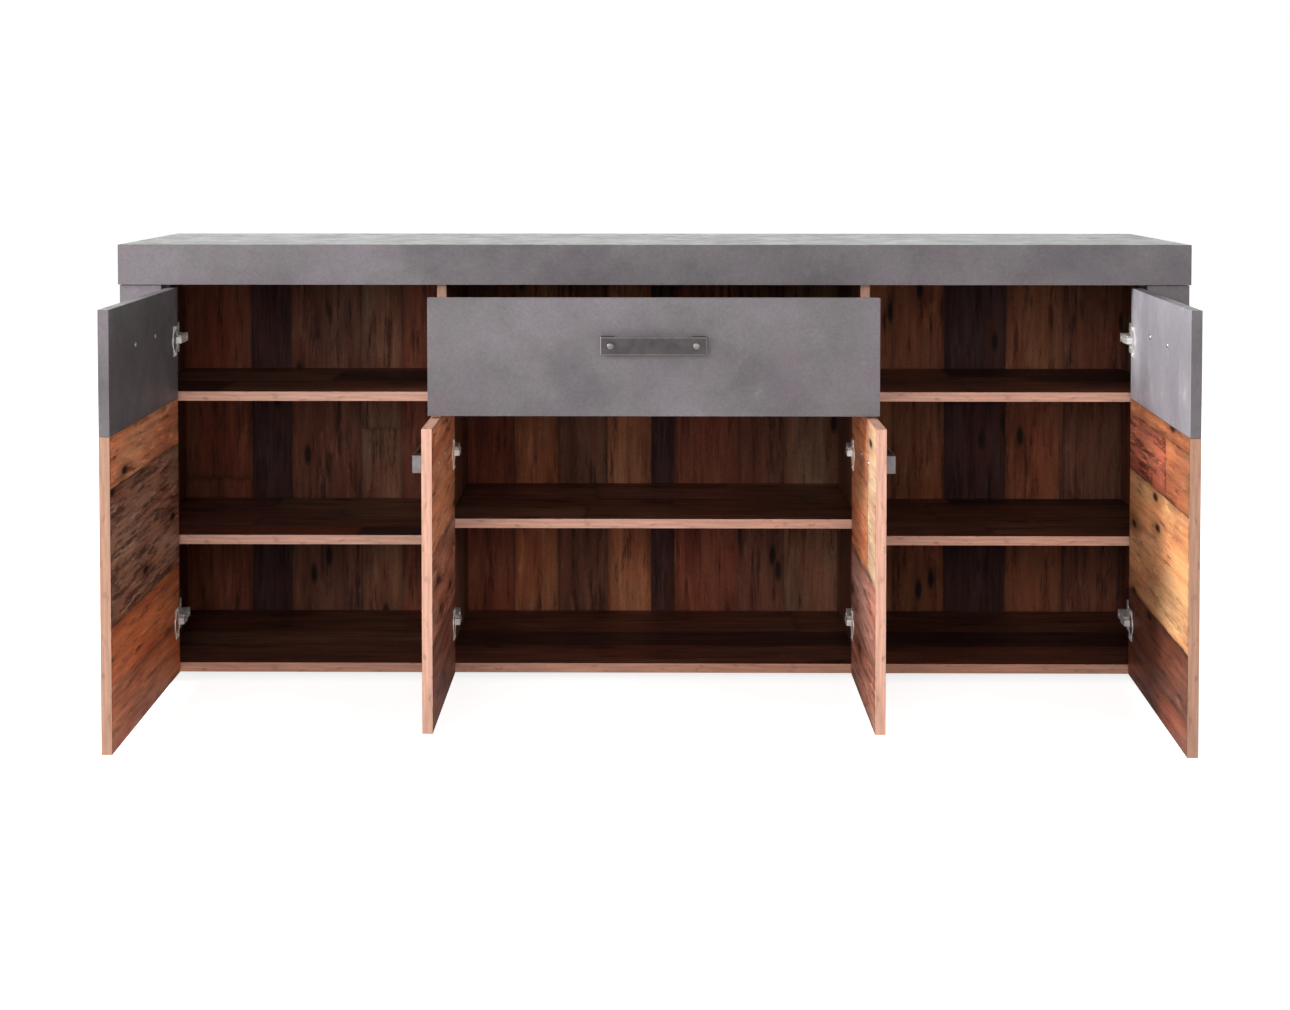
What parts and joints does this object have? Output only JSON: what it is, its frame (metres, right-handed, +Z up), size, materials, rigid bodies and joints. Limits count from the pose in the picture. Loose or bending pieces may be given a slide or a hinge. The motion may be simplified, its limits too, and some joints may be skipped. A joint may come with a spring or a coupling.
{
  "type": "sideboard buffet",
  "caption": "Wide low sideboard with a thick slab top, tall outer doors, a central drawer over a pair of doors, open shelves inside and bridge handles.",
  "frame": {"origin": "on the floor under the middle glide, midway across the width and depth of the top slab", "axes": "+X right seen from the front, -Y towards the front, +Z up"},
  "size_m": [1.77, 0.8578, 0.7325],
  "materials": {
    "slate_board": "matt slate-grey laminate on chipboard",
    "plank_board": "satin old-plank printed laminate on chipboard, salmon edge bands",
    "plank_back": "satin old-plank printed thin fibreboard",
    "drawer_board": "plain dark brown foil on chipboard",
    "hinge_nickel": "nickel-plated pressed steel",
    "runner_steel": "bright zinc-plated rolled steel",
    "handle_pewter": "aged pewter on die-cast metal",
    "glide_plastic": "black moulded plastic"
  },
  "bodies": {
    "carcass": {"top_board": "slate_board", "top_frame": "slate_board", "carcass_lid": "plank_board", "side_panel_left": "plank_board", "side_panel_right": "plank_board", "divider_left": "plank_board", "divider_right": "plank_board", "bottom_panel": "plank_board", "back_panel": "plank_back", "front_stile_left": "slate_board", "front_stile_right": "slate_board", "hinge_strip_left": "plank_board", "hinge_strip_right": "plank_board", "shelf_upper_left": "plank_board", "shelf_upper_right": "plank_board", "shelf_lower_left": "plank_board", "shelf_lower_right": "plank_board", "drawer_deck": "plank_board", "shelf_center": "plank_board", "glide_front_left": "glide_plastic", "glide_front_right": "glide_plastic", "glide_rear_left": "glide_plastic", "glide_rear_right": "glide_plastic", "glide_center": "glide_plastic", "cabinet_runner_left": "runner_steel", "cabinet_runner_right": "runner_steel", "hinge_arm_outer_bottom_left": "hinge_nickel", "hinge_arm_outer_bottom_right": "hinge_nickel", "hinge_arm_outer_top_left": "hinge_nickel", "hinge_arm_outer_top_right": "hinge_nickel", "hinge_arm_inner_bottom_left": "hinge_nickel", "hinge_arm_inner_bottom_right": "hinge_nickel", "hinge_arm_inner_top_left": "hinge_nickel", "hinge_arm_inner_top_right": "hinge_nickel"},
    "drawer": {"drawer_front": "slate_board", "drawer_side_left": "drawer_board", "drawer_side_right": "drawer_board", "drawer_back": "drawer_board", "drawer_base": "drawer_board", "handle_drawer": "handle_pewter", "drawer_runner_left": "runner_steel", "drawer_runner_right": "runner_steel"},
    "outer_door_left": {"outer_door_upper_left": "slate_board", "outer_door_lower_left": "plank_board", "handle_outer_left": "handle_pewter", "hinge_cup_outer_bottom_left": "hinge_nickel", "hinge_cup_outer_top_left": "hinge_nickel"},
    "outer_door_right": {"outer_door_upper_right": "slate_board", "outer_door_lower_right": "plank_board", "handle_outer_right": "handle_pewter", "hinge_cup_outer_bottom_right": "hinge_nickel", "hinge_cup_outer_top_right": "hinge_nickel"},
    "inner_door_left": {"inner_door_left": "plank_board", "handle_inner_left": "handle_pewter", "hinge_cup_inner_bottom_left": "hinge_nickel", "hinge_cup_inner_top_left": "hinge_nickel"},
    "inner_door_right": {"inner_door_right": "plank_board", "handle_inner_right": "handle_pewter", "hinge_cup_inner_bottom_right": "hinge_nickel", "hinge_cup_inner_top_right": "hinge_nickel"}
  },
  "joints": [
    {"name": "drawer_slide", "type": "slide", "parent": "carcass", "child": "drawer", "axis": [0, -1, 0], "range_m": [-0.216, 0.046]},
    {"name": "outer_door_hinge_left", "type": "hinge", "parent": "carcass", "child": "outer_door_left", "pos_m": [-0.801, -0.2003, 0.33825], "axis": [0, 0, -1], "range_deg": [-88.8, 11.2]},
    {"name": "outer_door_hinge_right", "type": "hinge", "parent": "carcass", "child": "outer_door_right", "pos_m": [0.801, -0.2003, 0.33825], "axis": [0, 0, 1], "range_deg": [-86.8, 13.2]},
    {"name": "inner_door_hinge_left", "type": "hinge", "parent": "carcass", "child": "inner_door_left", "pos_m": [-0.3405, -0.2003, 0.245], "axis": [0, 0, -1], "range_deg": [-90, 10]},
    {"name": "inner_door_hinge_right", "type": "hinge", "parent": "carcass", "child": "inner_door_right", "pos_m": [0.3405, -0.2003, 0.245], "axis": [0, 0, 1], "range_deg": [-90, 10]}
  ]
}
